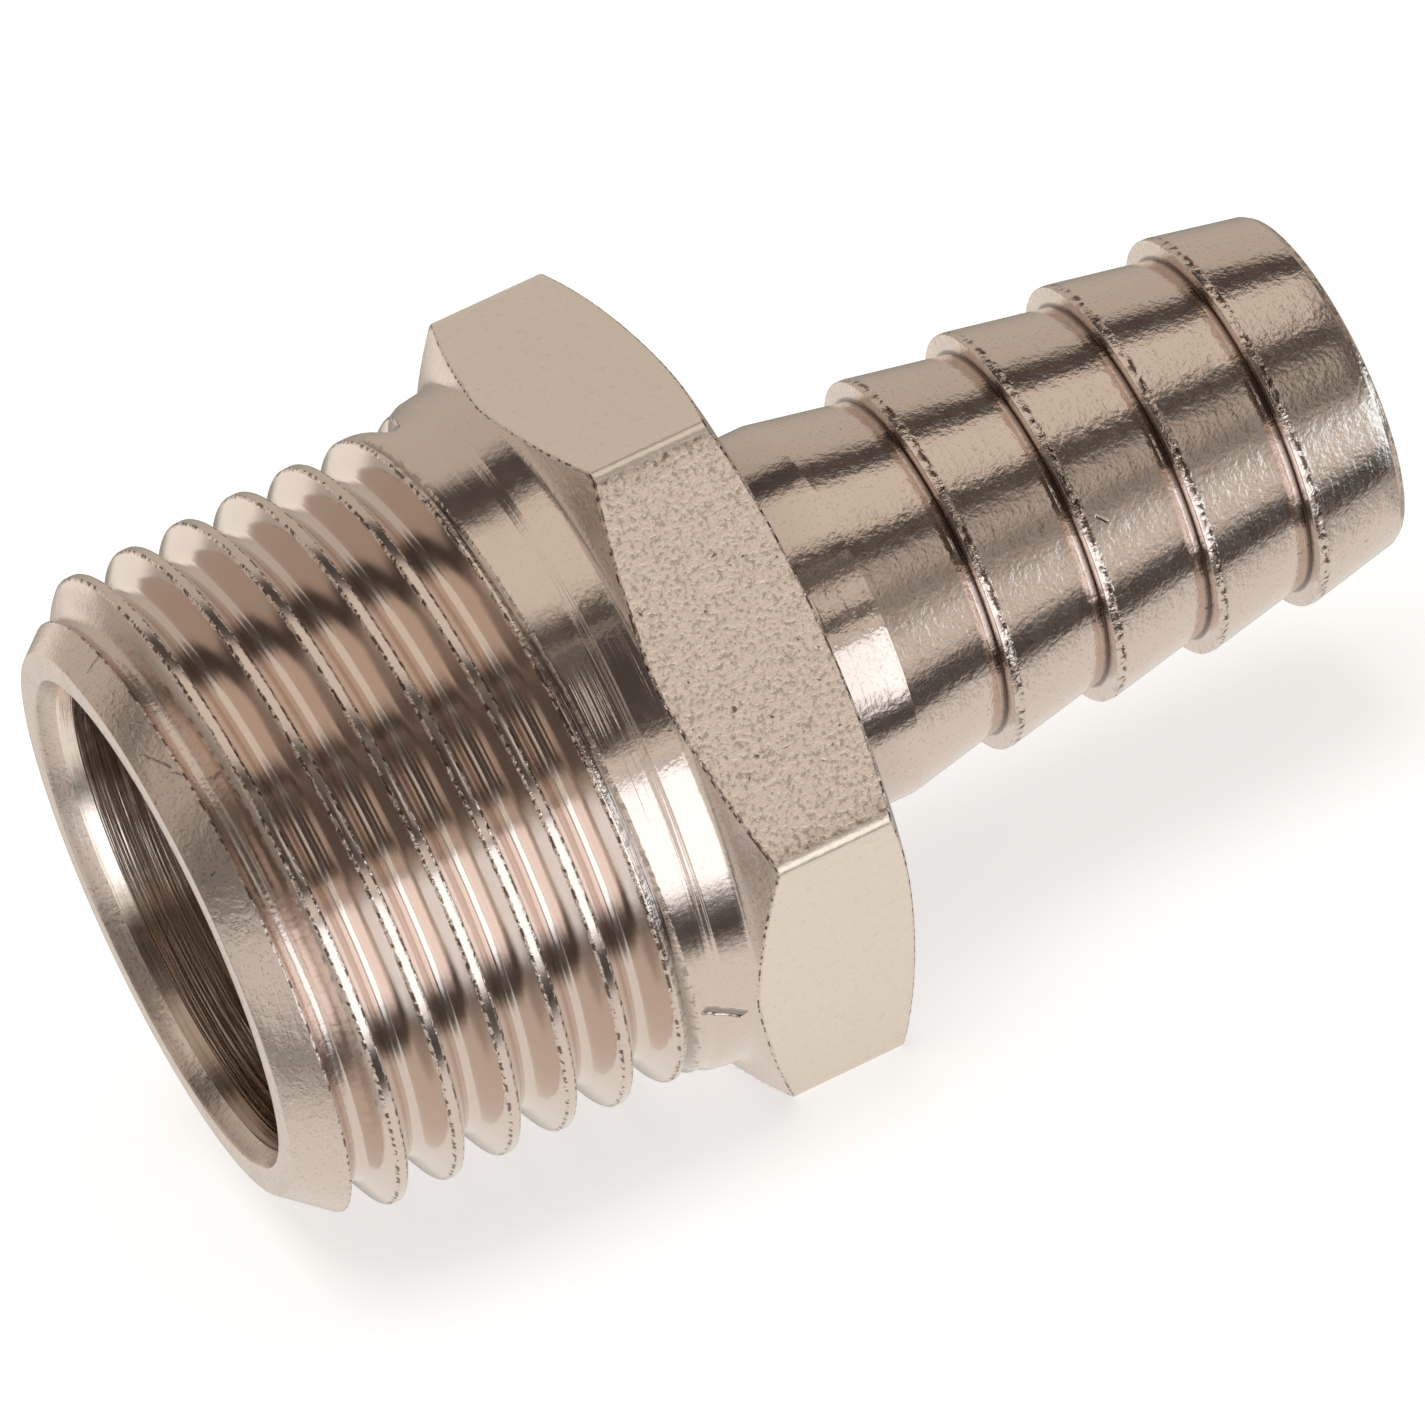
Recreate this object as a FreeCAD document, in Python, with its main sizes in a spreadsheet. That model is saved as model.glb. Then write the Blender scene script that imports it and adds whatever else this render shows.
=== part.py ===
import FreeCAD, Part
import math
import os
import Sketcher

# Hose barb tail: one piece of plated brass, turned from hexagonal bar.
# One end is a right-hand taper pipe thread, the middle is the spanner
# hexagon, and the other end is a serrated tail that a hose is pushed over.
#
# The body is drawn with its axis along its own X, the thread's end face at
# x = 0 and the hose end at x = length.  It is then set down so that one flat
# of the hexagon lies on Z = 0 with the middle of its box over the origin.
# Millimetres throughout.

doc = FreeCAD.newDocument("hose_barb_tail")
V = FreeCAD.Vector

# ---------------------------------------------------------------- sizes
sheet = doc.addObject("Spreadsheet::Sheet", "sizes")
SIZES = [
    # whole piece
    ("length", 38.96, "end face of the thread to the hose end"),
    ("across_flats", 21.9, "hexagon, a 22 mm spanner fits it"),
    # taper thread, measured from the thread's end face
    ("pitch", 1.8143, "14 threads to the inch"),
    ("taper", 0.03125, "radius gained per mm of length, 1 in 16 on diameter"),
    ("crest_rad", 10.2213, "crest radius at the end face, so 20.955 across at the gauge plane"),
    ("face_rad", 8.72, "outer radius of the end face"),
    ("lead_len", 1.86, "length of the lead-in chamfer"),
    ("crest_flat", 0.30, "width of the thread's crest"),
    ("flank_deg", 27.5, "angle of each flank from square"),
    ("root_round", 0.33, "radius in the thread's root"),
    ("groove_turn", -15, "angle about the axis where the groove starts, from straight up"),
    ("groove_start", -2.4586, "first groove centre, at that angle"),
    ("groove_turns", 7.96, "turns at full depth"),
    ("groove_over", 0.2, "how far the cutting profile stands over the crest"),
    ("fade_turns", 0.055, "turns over which the groove runs out"),
    ("fade_deg", 85.4, "angle at which the root climbs out of the groove"),
    ("mark_start", 11.18, "middle of the shallow mark beside the last crest, where it starts"),
    ("mark_turn", -15, "angle about the axis where it starts, from straight up"),
    ("mark_deep", 0.08, "its depth there"),
    ("mark_flank", 50, "angle of its sides from square"),
    ("mark_pitch", 2.40, "its advance in one turn"),
    ("mark_fall", -7.5, "angle at which it grows deeper"),
    ("mark_turns", 0.72, "turns that it lasts"),
    # neck and collar between the thread and the hexagon
    ("neck_end", 12.86, "end of the plain stretch after the thread"),
    ("collar_start", 13.20, "start of the collar"),
    ("collar_rad", 10.80, "radius where the collar starts"),
    ("collar_end", 13.98, "end of the collar"),
    ("collar_rad_end", 10.91, "radius where the collar ends"),
    ("cove_round", 0.40, "inside corner between collar and hexagon"),
    ("cove_end", 14.33, "end of that corner"),
    ("cove_rad_end", 11.14, "radius at the end of that corner"),
    ("hexcone_end", 15.11, "where the thread-side chamfer meets the corners"),
    ("hexcone_rad", 12.66, "radius there"),
    ("clear_rad", 13.6, "radius outside the bar's corners"),
    # hose side of the hexagon
    ("dome_start", 18.72, "where the rounded chamfer leaves the corners"),
    ("dome_rad", 12.66, "radius there"),
    ("dome_round", 9.8, "radius of the rounded chamfer's section"),
    ("hex_end", 19.54, "hose-side face of the hexagon"),
    ("dome_end_rad", 9.4, "where the rounded chamfer meets that face"),
    ("cove", 0.2, "inside corner between that face and the tail"),
    # serrated tail
    ("land_rad", 5.98, "plain land beside the hexagon"),
    ("land_end", 22.25, "end of that land"),
    ("first_step", 25.36, "first shoulder"),
    ("barb_pitch", 3.423, "shoulder to shoulder"),
    ("barb_rad", 5.98, "radius over the barbs"),
    ("trough_rad", 5.40, "radius in front of each shoulder"),
    ("lip", 0.24, "flat top of each barb"),
    ("toe", 0.20, "flat bottom in front of each shoulder"),
    ("tip_start", 38.67, "where the hose end is rounded over"),
    ("tip_rad", 5.405, "radius there"),
    ("tip_round", 0.32, "radius of that rounding's section"),
    ("tip_face_rad", 5.12, "outer radius of the hose end's face"),
    # passage
    ("mouth_rad", 7.85, "bore at the thread's end face"),
    ("mouth_len", 0.57, "depth of the mouth's chamfer"),
    ("throat_rad", 7.55, "bore under that chamfer"),
    ("throat_len", 1.02, "end of the short relief under it"),
    ("bore_rad", 7.40, "large bore"),
    ("bore_len", 13.0, "depth of the large bore"),
    ("drill_deg", 59, "half angle of the drill point at its bottom"),
    ("passage_rad", 4.40, "bore through the tail"),
    ("exit_len", 0.20, "chamfer of that bore at the hose end"),
]
for row, (name, value, note) in enumerate(SIZES, start=1):
    sheet.set("A%d" % row, name)
    sheet.set("B%d" % row, "%.10g" % value)
    sheet.setAlias("B%d" % row, name)
    sheet.set("C%d" % row, note)
doc.recompute()


# ---------------------------------------------------------------- helpers
def number(text):
    """Value of a text that names cells of the sheet."""
    value = sheet.evalExpression(text)
    return float(getattr(value, "Value", value))


def plane(body, role):
    """The origin plane of this body with the given role."""
    for item in body.Origin.OriginFeatures:
        if item.Role == role:
            return item
    raise RuntimeError("no plane " + role)


def outline(body, name, role, corners, turn=None):
    """A closed sketch on one of the body's own planes.

    Each corner is (across, up) as text in the sheet's names; the zero of
    "up" is on the axis.  A third entry shapes the side that starts there:
    "left" or "right" is an arc that bulges to that side of the way round,
    with its radius as the fourth entry, and "even" is a straight side kept
    as a free-form line.  With turn the plane is tipped about the axis."""
    sketch = body.newObject("Sketcher::SketchObject", name)
    sketch.AttachmentSupport = [(plane(body, role), "")]
    sketch.MapMode = "FlatFace"
    if turn is not None:
        sketch.AttachmentOffset = FreeCAD.Placement(
            V(0, 0, 0), FreeCAD.Rotation(V(1, 0, 0), number(turn)))
    count = len(corners)
    points = [V(number(c[0]), number(c[1]), 0) for c in corners]
    sides = []
    for i, corner in enumerate(corners):
        a, b = points[i], points[(i + 1) % count]
        kind = corner[2] if len(corner) > 2 else "line"
        if kind in ("left", "right"):
            radius, left = number(corner[3]), kind == "left"
            chord = b - a
            half = chord.Length / 2.0
            normal = V(-chord.y, chord.x, 0).normalize()
            if not left:
                normal = normal.multiply(-1)
            middle = V(a.x + b.x, a.y + b.y, 0).multiply(0.5)
            sag = radius - math.sqrt(radius * radius - half * half)
            centre = middle + V(normal).multiply(sag - radius)
            start = math.atan2(a.y - centre.y, a.x - centre.x)
            end = math.atan2(b.y - centre.y, b.x - centre.x)
            if left:
                start, end = end, start
            while end < start:
                end += 2 * math.pi
            circle = Part.Circle(centre, V(0, 0, 1), radius)
            index = sketch.addGeometry(Part.ArcOfCircle(circle, start, end), False)
            sides.append((index, (2, 1) if left else (1, 2)))
            bound = sketch.addConstraint(Sketcher.Constraint("Radius", index, radius))
            sketch.renameConstraint(bound, "round_%d" % i)
            sketch.setExpression("Constraints.round_%d" % i, corner[3])
        elif kind == "even":
            line = Part.BSplineCurve()
            line.buildFromPolesMultsKnots([a, b], [2, 2], [0, 1], False, 1)
            index = sketch.addGeometry(line, False)
            sides.append((index, (1, 2)))
        else:
            index = sketch.addGeometry(Part.LineSegment(a, b), False)
            sides.append((index, (1, 2)))
    for i in range(count):
        this, after = sides[i], sides[(i + 1) % count]
        sketch.addConstraint(Sketcher.Constraint(
            "Coincident", this[0], this[1][1], after[0], after[1][0]))
    for i, corner in enumerate(corners):
        index, ends = sides[i]
        for kind, tag, text, value in (
                ("DistanceX", "across", corner[0], points[i].x),
                ("DistanceY", "up", corner[1], points[i].y)):
            bound = sketch.addConstraint(Sketcher.Constraint(
                kind, -1, 1, index, ends[0], value))
            label = "%s_%d" % (tag, i)
            sketch.renameConstraint(bound, label)
            sketch.setExpression("Constraints." + label, text)
    doc.recompute()
    return sketch


def turned(body, name, sketch):
    """A cut that spins the sketch about the axis."""
    before = body.Shape.Volume
    groove = body.newObject("PartDesign::Groove", name)
    groove.Profile = sketch
    groove.ReferenceAxis = (sketch, ["H_Axis"])
    groove.Angle = 360.0
    doc.recompute()
    if not groove.Shape.Volume < before - 0.1:
        raise RuntimeError(name + " cut nothing")
    return groove


body = doc.addObject("PartDesign::Body", "hose_tail")
body.Label = "hose_tail"

# ---------------------------------------------------------------- hexagonal bar
# Corners at the front and back, flats at the top and bottom.
corner = "sizes.across_flats / 2 / cos(30 deg)"
bar = outline(body, "bar_section", "YZ_Plane", [
    (corner, "0"),
    (corner + " * 0.5", "sizes.across_flats / 2"),
    ("-" + corner + " * 0.5", "sizes.across_flats / 2"),
    ("-" + corner, "0"),
    ("-" + corner + " * 0.5", "-sizes.across_flats / 2"),
    (corner + " * 0.5", "-sizes.across_flats / 2"),
])
blank = body.newObject("PartDesign::Pad", "bar")
blank.Profile = bar
blank.setExpression("Length", "sizes.length")
doc.recompute()

# ---------------------------------------------------------------- thread blank
# Lead-in chamfer, taper, neck, collar and the chamfer of the hexagon.
neck_rad = "(sizes.crest_rad + sizes.neck_end * sizes.taper)"
thread_blank = outline(body, "thread_side", "XZ_Plane", [
    ("-1", "sizes.face_rad"),
    ("0", "sizes.face_rad", "even"),
    ("sizes.lead_len", "sizes.crest_rad + sizes.lead_len * sizes.taper", "even"),
    ("sizes.neck_end", neck_rad, "even"),
    ("sizes.collar_start", "sizes.collar_rad", "even"),
    ("sizes.collar_end", "sizes.collar_rad_end", "right", "sizes.cove_round"),
    ("sizes.cove_end", "sizes.cove_rad_end", "even"),
    ("sizes.hexcone_end", "sizes.hexcone_rad", "even"),
    ("sizes.hexcone_end + (sizes.clear_rad - sizes.hexcone_rad) * 0.512", "sizes.clear_rad"),
    ("-1", "sizes.clear_rad"),
])
turned(body, "turn_thread_side", thread_blank)

# ---------------------------------------------------------------- serrated tail
corners = [
    ("sizes.dome_start - (sizes.clear_rad - sizes.dome_rad) * 0.45", "sizes.clear_rad"),
    ("sizes.dome_start", "sizes.dome_rad", "left", "sizes.dome_round"),
    ("sizes.hex_end", "sizes.dome_end_rad"),
    ("sizes.hex_end", "sizes.land_rad + sizes.cove", "right", "sizes.cove"),
    ("sizes.hex_end + sizes.cove", "sizes.land_rad"),
    ("sizes.land_end", "sizes.land_rad"),
]
BARBS = 4
for k in range(BARBS):
    step = "(sizes.first_step + %d * sizes.barb_pitch)" % k
    corners += [
        (step + " - sizes.toe", "sizes.trough_rad"),
        (step, "sizes.trough_rad"),
        (step, "sizes.barb_rad"),
        (step + " + sizes.lip", "sizes.barb_rad"),
    ]
corners += [
    ("sizes.tip_start", "sizes.tip_rad", "left", "sizes.tip_round"),
    ("sizes.length", "sizes.tip_face_rad"),
    ("sizes.length + 1", "sizes.tip_face_rad"),
    ("sizes.length + 1", "sizes.clear_rad"),
]
tail = outline(body, "hose_side", "XZ_Plane", corners)
turned(body, "turn_hose_side", tail)

# ---------------------------------------------------------------- passage
drill_end = "(sizes.bore_len + (sizes.bore_rad - sizes.passage_rad) / tan(sizes.drill_deg * 1 deg))"
passage = outline(body, "passage_section", "XZ_Plane", [
    ("-1", "0"),
    ("sizes.length + 1", "0"),
    ("sizes.length + 1", "sizes.passage_rad + sizes.exit_len"),
    ("sizes.length", "sizes.passage_rad + sizes.exit_len"),
    ("sizes.length - sizes.exit_len", "sizes.passage_rad"),
    (drill_end, "sizes.passage_rad"),
    ("sizes.bore_len", "sizes.bore_rad"),
    ("sizes.throat_len", "sizes.bore_rad"),
    ("sizes.mouth_len", "sizes.throat_rad"),
    ("0", "sizes.mouth_rad"),
    ("-1", "sizes.mouth_rad"),
])
turned(body, "bore_through", passage)

# ---------------------------------------------------------------- thread
# The cutter is one groove: two flanks and a rounded root, a little wider
# than the groove at the crest.  Its middle stands at `centre`.
half_top = "((sizes.pitch - sizes.crest_flat) / 2 + sizes.groove_over * tan(sizes.flank_deg * 1 deg))"
sharp = "((sizes.pitch - sizes.crest_flat) / 2 / tan(sizes.flank_deg * 1 deg))"
half_root = "(sizes.root_round * cos(sizes.flank_deg * 1 deg))"
root_up = "(sizes.root_round / sin(sizes.flank_deg * 1 deg) - sizes.root_round * sin(sizes.flank_deg * 1 deg))"


def cutter(name, centre):
    crest = "(sizes.crest_rad + (%s) * sizes.taper)" % centre
    return outline(body, name, "XZ_Plane", [
        (centre + " - " + half_top, crest + " + sizes.groove_over"),
        (centre + " - " + half_root, crest + " - " + sharp + " + " + root_up, "right", "sizes.root_round"),
        (centre + " + " + half_root, crest + " - " + sharp + " + " + root_up),
        (centre + " + " + half_top, crest + " + sizes.groove_over"),
    ], turn="sizes.groove_turn")


def threaded(name, sketch, turns, angle, pitch="sizes.pitch"):
    before = body.Shape.Volume
    helix = body.newObject("PartDesign::SubtractiveHelix", name)
    helix.Profile = sketch
    helix.ReferenceAxis = (sketch, ["H_Axis"])
    helix.Mode = "pitch-turns-angle"
    helix.HasBeenEdited = True
    helix.setExpression("Pitch", pitch)
    helix.setExpression("Turns", turns)
    helix.setExpression("Angle", angle)
    helix.LeftHanded = False
    helix.Reversed = False
    doc.recompute()
    cut = before - helix.Shape.Volume
    print(name, "cut", round(cut, 2), "mm3")
    if cut < 0.1:
        raise RuntimeError(name + " cut nothing")
    return helix


groove = cutter("thread_groove", "sizes.groove_start")
threaded("cut_thread", groove, "sizes.groove_turns", "atan(sizes.taper)")

# The cutter is pulled out quickly where the groove ends, so the neck beside
# it is plain, but for a shallow mark that follows the last crest.
fade = cutter("fading_groove", "(sizes.groove_start + sizes.groove_turns * sizes.pitch)")
fade.AttachmentOffset = FreeCAD.Placement(V(0, 0, 0), FreeCAD.Rotation(
    V(1, 0, 0), number("sizes.groove_turn + sizes.groove_turns * 360")))
threaded("cut_run_out", fade, "sizes.fade_turns", "sizes.fade_deg * 1 deg")

mark_top = "(sizes.crest_rad + sizes.mark_start * sizes.taper)"
mark_half = "((sizes.mark_deep + sizes.groove_over) * tan(sizes.mark_flank * 1 deg))"
mark = outline(body, "mark_section", "XZ_Plane", [
    ("sizes.mark_start - " + mark_half, mark_top + " + sizes.groove_over"),
    ("sizes.mark_start", mark_top + " - sizes.mark_deep"),
    ("sizes.mark_start + " + mark_half, mark_top + " + sizes.groove_over"),
], turn="sizes.mark_turn")
threaded("cut_mark", mark, "sizes.mark_turns", "sizes.mark_fall * 1 deg", "sizes.mark_pitch")

# ---------------------------------------------------------------- set down
body.setExpression("Placement.Base.x", "-sizes.length / 2")
body.setExpression("Placement.Base.z", "sizes.across_flats / 2")
doc.recompute()

# ---------------------------------------------------------------- checks
for item in doc.Objects:
    if "Invalid" in item.State or "Error" in item.State:
        raise RuntimeError("failed: %s %s" % (item.Name, item.State))
for item in doc.Objects:
    if item.TypeId == "Sketcher::SketchObject" and item.solve() != 0:
        raise RuntimeError("sketch does not solve: " + item.Name)

os.makedirs("parts", exist_ok=True)
for item in doc.Objects:
    if item.TypeId != "PartDesign::Body":
        continue
    shape = item.Shape
    if shape.isNull() or not shape.isValid() or len(shape.Solids) != 1:
        raise RuntimeError("bad shape: " + item.Label)
    shape.exportStep(os.path.join("parts", item.Label + ".step"))
    box = shape.BoundBox
    print(item.Label, "volume %.1f mm3" % shape.Volume, "faces", len(shape.Faces),
          "box x %.3f..%.3f y %.3f..%.3f z %.3f..%.3f" % (
              box.XMin, box.XMax, box.YMin, box.YMax, box.ZMin, box.ZMax),
          "centre of mass", tuple(round(c, 3) for c in shape.Solids[0].CenterOfMass))
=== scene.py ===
import math

import bmesh
import bpy
import numpy as np
from mathutils import Matrix, Vector


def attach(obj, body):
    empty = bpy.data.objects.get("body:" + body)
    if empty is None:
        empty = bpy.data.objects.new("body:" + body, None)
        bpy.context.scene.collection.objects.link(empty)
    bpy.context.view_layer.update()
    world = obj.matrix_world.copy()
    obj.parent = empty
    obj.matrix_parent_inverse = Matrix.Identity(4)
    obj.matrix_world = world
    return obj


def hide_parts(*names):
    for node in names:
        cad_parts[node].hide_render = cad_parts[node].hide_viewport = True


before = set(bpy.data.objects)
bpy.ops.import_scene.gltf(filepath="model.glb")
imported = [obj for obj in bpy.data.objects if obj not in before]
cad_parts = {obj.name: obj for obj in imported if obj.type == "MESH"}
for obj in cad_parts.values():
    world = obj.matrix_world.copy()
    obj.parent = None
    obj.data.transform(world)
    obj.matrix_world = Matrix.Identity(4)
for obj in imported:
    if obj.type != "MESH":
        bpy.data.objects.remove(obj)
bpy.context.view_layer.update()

scene = bpy.context.scene
MM = 0.001

# ---------------------------------------------------------------- camera
AXIS_HEIGHT = 10.95                     # the passage axis above the floor, mm
VIEW_TURN = math.radians(12.7585)       # the axis is turned this far out of the picture plane
PICTURE_TILT = math.radians(25.2)       # the axis rises this far in the picture
DISTANCE = 383.39                       # camera to the middle of the part, mm

front = Vector((0, -math.cos(math.radians(30)), math.sin(math.radians(30))))    # normal of the hexagon flat that faces the camera
down = Vector((0, -0.5, -math.sqrt(0.75)))
along = Vector((1, 0, 0))
look = along * math.sin(VIEW_TURN) - front * math.cos(VIEW_TURN)
across = along * math.cos(VIEW_TURN) + front * math.sin(VIEW_TURN)
right = across * math.cos(PICTURE_TILT) + down * math.sin(PICTURE_TILT)
low = -across * math.sin(PICTURE_TILT) + down * math.cos(PICTURE_TILT)
place = Vector((-1.73, 0, AXIS_HEIGHT)) - look * DISTANCE + across * 0.045 + down * 1.308

camera_data = bpy.data.cameras.new("camera")
camera_data.sensor_width = 36.0
camera_data.sensor_fit = "HORIZONTAL"
camera_data.lens = 328.46
camera_data.clip_start = 0.01
camera_data.clip_end = 10.0
camera = bpy.data.objects.new("camera", camera_data)
scene.collection.objects.link(camera)
turn = Matrix((right, -low, -look)).transposed()
camera.matrix_world = Matrix.Translation(place * MM) @ turn.to_4x4()
scene.camera = camera

# ---------------------------------------------------------------- floor
floor_mesh = bpy.data.meshes.new("floor")
half = 3.0
floor_mesh.from_pydata([(-half, -half, 0), (half, -half, 0), (half, half, 0), (-half, half, 0)], [], [(0, 1, 2, 3)])
floor = bpy.data.objects.new("floor", floor_mesh)
scene.collection.objects.link(floor)
floor.visible_glossy = False
fm = bpy.data.materials.new("floor")
fm.use_nodes = True
fm.node_tree.nodes.remove(fm.node_tree.nodes["Principled BSDF"])
matte, glow, both = (fm.node_tree.nodes.new(k) for k in ("ShaderNodeBsdfDiffuse", "ShaderNodeEmission", "ShaderNodeAddShader"))
matte.inputs["Color"].default_value = (0.62, 0.62, 0.62, 1)
glow.inputs["Strength"].default_value = 0.62            # a pale, evenly lit table top
fm.node_tree.links.new(matte.outputs[0], both.inputs[0])
fm.node_tree.links.new(glow.outputs[0], both.inputs[1])
fm.node_tree.links.new(both.outputs[0], fm.node_tree.nodes["Material Output"].inputs["Surface"])
floor_mesh.materials.append(fm)

# ---------------------------------------------------------------- light
# A light tent: soft white walls with a few dark gaps between them that run along the part. A wall is given by the
# angles round the part between which it stands, from the direction square to the facing flat, positive downwards,
# the width of its soft edges, its brightness, and how far it reaches along the part.
class Graph:
    """Small helper for building shader nodes."""

    def __init__(self, tree):
        self.tree = tree

    def node(self, kind, **settings):
        n = self.tree.nodes.new(kind)
        for k, v in settings.items():
            setattr(n, k, v)
        return n

    def put(self, socket, value):
        if isinstance(value, bpy.types.NodeSocket):
            self.tree.links.new(value, socket)
        elif value is not None:
            socket.default_value = value

    def math(self, op, x, y=None, z=None, clamp=False):
        n = self.node("ShaderNodeMath", operation=op, use_clamp=clamp)
        for s, v in zip(n.inputs, (x, y, z)):
            self.put(s, v)
        return n.outputs[0]

    def vector(self, op, x, y=None, out=0):
        n = self.node("ShaderNodeVectorMath", operation=op)
        for s, v in zip(n.inputs, (x, y)):
            self.put(s, v)
        return n.outputs["Value"] if op in ("DOT_PRODUCT", "LENGTH", "DISTANCE") else n.outputs[0]

    def step(self, value, low, high, to_low=0.0, to_high=1.0):
        """Smooth change from to_low to to_high as value goes from low to high."""
        n = self.node("ShaderNodeMapRange", interpolation_type="SMOOTHSTEP", clamp=True)
        self.put(n.inputs["Value"], value)
        for name, v in (("From Min", low), ("From Max", high), ("To Min", to_low), ("To Max", to_high)):
            self.put(n.inputs[name], v)
        return n.outputs[0]

    def mix(self, factor, x, y, blend="MIX"):
        n = self.node("ShaderNodeMix", data_type="RGBA", blend_type=blend)
        self.put(n.inputs[0], factor)
        self.put(n.inputs[6], x)
        self.put(n.inputs[7], y)
        return n.outputs[2]


world = bpy.data.worlds.new("studio")
scene.world = world
world.use_nodes = True
world.cycles.sampling_method = "NONE"       # the walls are wide and soft, so rays find them by themselves
g = Graph(world.node_tree)
coords = g.node("ShaderNodeTexCoord").outputs["Generated"]
reach = g.vector("DOT_PRODUCT", coords, tuple(along))
ahead = g.vector("DOT_PRODUCT", coords, tuple(front))
under = g.vector("DOT_PRODUCT", coords, tuple(down))
round_it = g.math("DEGREES", g.math("ARCTAN2", under, ahead))

WARM, PLAIN, COOL, SKY = (1.0, 0.91, 0.79), (1.0, 0.97, 0.90), (0.97, 1.0, 1.03), (0.92, 1.08, 1.16)
WALLS = [
    # angles from and to, width of the two soft edges, brightness, tint, reach along the part from and to, its soft edge
    (-158, -97, 50, 9, 0.30, WARM, -0.62, 0.62, 0.10),
    (-220, -97, 10, 9, 0.22, WARM, -0.62, 0.62, 0.10),
    (-76, -35, 9, 9, 0.72, WARM, -0.62, 0.66, 0.10),
    (-25, -23, 1, 1, 0.34, WARM, -0.62, 0.30, 0.10),
    (-22, -14, 5, 5, 0.07, WARM, -0.10, 0.66, 0.08),
    (-12, 5, 7, 6, 0.74, WARM, 0.19, 0.34, 0.05),
    (-15, 2, 8, 14, 0.44, WARM, 0.34, 0.66, 0.08),
    (0, 26, 16, 30, 0.26, WARM, 0.34, 0.66, 0.08),
    (13, 21, 4, 1, 0.75, WARM, -0.62, 0.34, 0.08),
    (23, 67, 1, 11, 1.60, COOL, -0.50, 0.36, 0.10),
    (28, 62, 30, 16, 0.62, WARM, 0.36, 0.66, 0.10),
    (88, 176, 10, 22, 0.78, PLAIN, -0.62, 0.50, 0.08),
    (88, 176, 10, 22, 0.40, PLAIN, 0.50, 0.66, 0.08),
    # beyond the hose end; what the thread's flanks show
    (-220, -103, 10, 10, 0.40, WARM, 0.62, 1.10, 0.10),
    (-84, -46, 10, 12, 0.27, WARM, 0.66, 1.10, 0.10),
    (-32.6, -30.6, 1, 1, 0.40, WARM, 0.66, 1.10, 0.10),
    (-40, 16, 10, 10, 0.06, WARM, 0.66, 1.10, 0.10),
    (20, 26.4, 4, 1, 0.62, WARM, 0.66, 1.10, 0.10),
    (28.2, 84, 1.4, 14, 0.50, SKY, 0.66, 1.10, 0.10),
    (29, 84, 8, 14, 0.98, SKY, 0.66, 1.10, 0.10),
    (102, 176, 10, 22, 0.60, PLAIN, 0.66, 1.10, 0.10),
    # beyond the thread end
    (-148, -108, 20, 10, 0.50, WARM, -1.10, -0.62, 0.10),
    (-220, -148, 10, 20, 0.20, WARM, -1.10, -0.62, 0.10),
    (150, 220, 20, 10, 0.20, WARM, -1.10, -0.62, 0.10),
    (-220, -150, 10, 10, 0.60, PLAIN, -0.42, -0.06, 0.08),
    (176, 220, 22, 10, 0.80, PLAIN, -0.42, -0.06, 0.08),
    (-90, -48, 10, 12, 0.48, WARM, -1.10, -0.62, 0.10),
    (-46, 20, 12, 10, 0.28, WARM, -0.82, -0.62, 0.06),
    (-46, 20, 12, 10, 0.09, WARM, -1.10, -0.82, 0.06),
    (22, 84, 8, 14, 0.72, PLAIN, -1.10, -0.50, 0.10),
    (102, 150, 10, 20, 0.58, PLAIN, -1.10, -0.62, 0.10),
]
GAP = (0.075, 0.066, 0.058)


def wide_step(value, low, high, to_low=0.0, to_high=1.0):
    """Three smooth changes at once, one in each part of a vector."""
    n = g.node("ShaderNodeMapRange", data_type="FLOAT_VECTOR", interpolation_type="SMOOTHSTEP", clamp=True)
    g.put(n.inputs["Vector"], value)
    for name, v in (("From_Min_FLOAT3", low), ("From_Max_FLOAT3", high), ("To_Min_FLOAT3", (to_low,) * 3), ("To_Max_FLOAT3", (to_high,) * 3)):
        g.put(next(k for k in n.inputs if k.identifier == name), tuple(v))
    return n.outputs["Vector"]


def triple(*values):
    n = g.node("ShaderNodeCombineXYZ")
    for k, v in zip(n.inputs, values):
        g.put(k, v)
    return n.outputs[0]


def wide_band(value, start, stop, soft_in, soft_out, least, most):
    """1 between start and stop; an edge that no direction reaches is left out."""
    start, stop, a, b = (np.array(k, float) for k in (start, stop, soft_in, soft_out))
    out = None
    if (start + a / 2 > least).any():
        out = wide_step(value, start - a / 2, start + a / 2)
    if (stop - b / 2 < most).any() or (out is None and most > 1):
        fall = wide_step(value, stop - b / 2, stop + b / 2, 1.0, 0.0)
        out = fall if out is None else g.vector("MULTIPLY", out, fall)
    return out


# The walls are worked out by zones along the part, and in each zone three at a time, all of one tint.
ZONES = [(-1.10, -0.62), (-0.62, 0.35), (0.35, 0.64), (0.64, 1.10)]
round_all, reach_all = triple(round_it, round_it, round_it), triple(reach, reach, reach)


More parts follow.
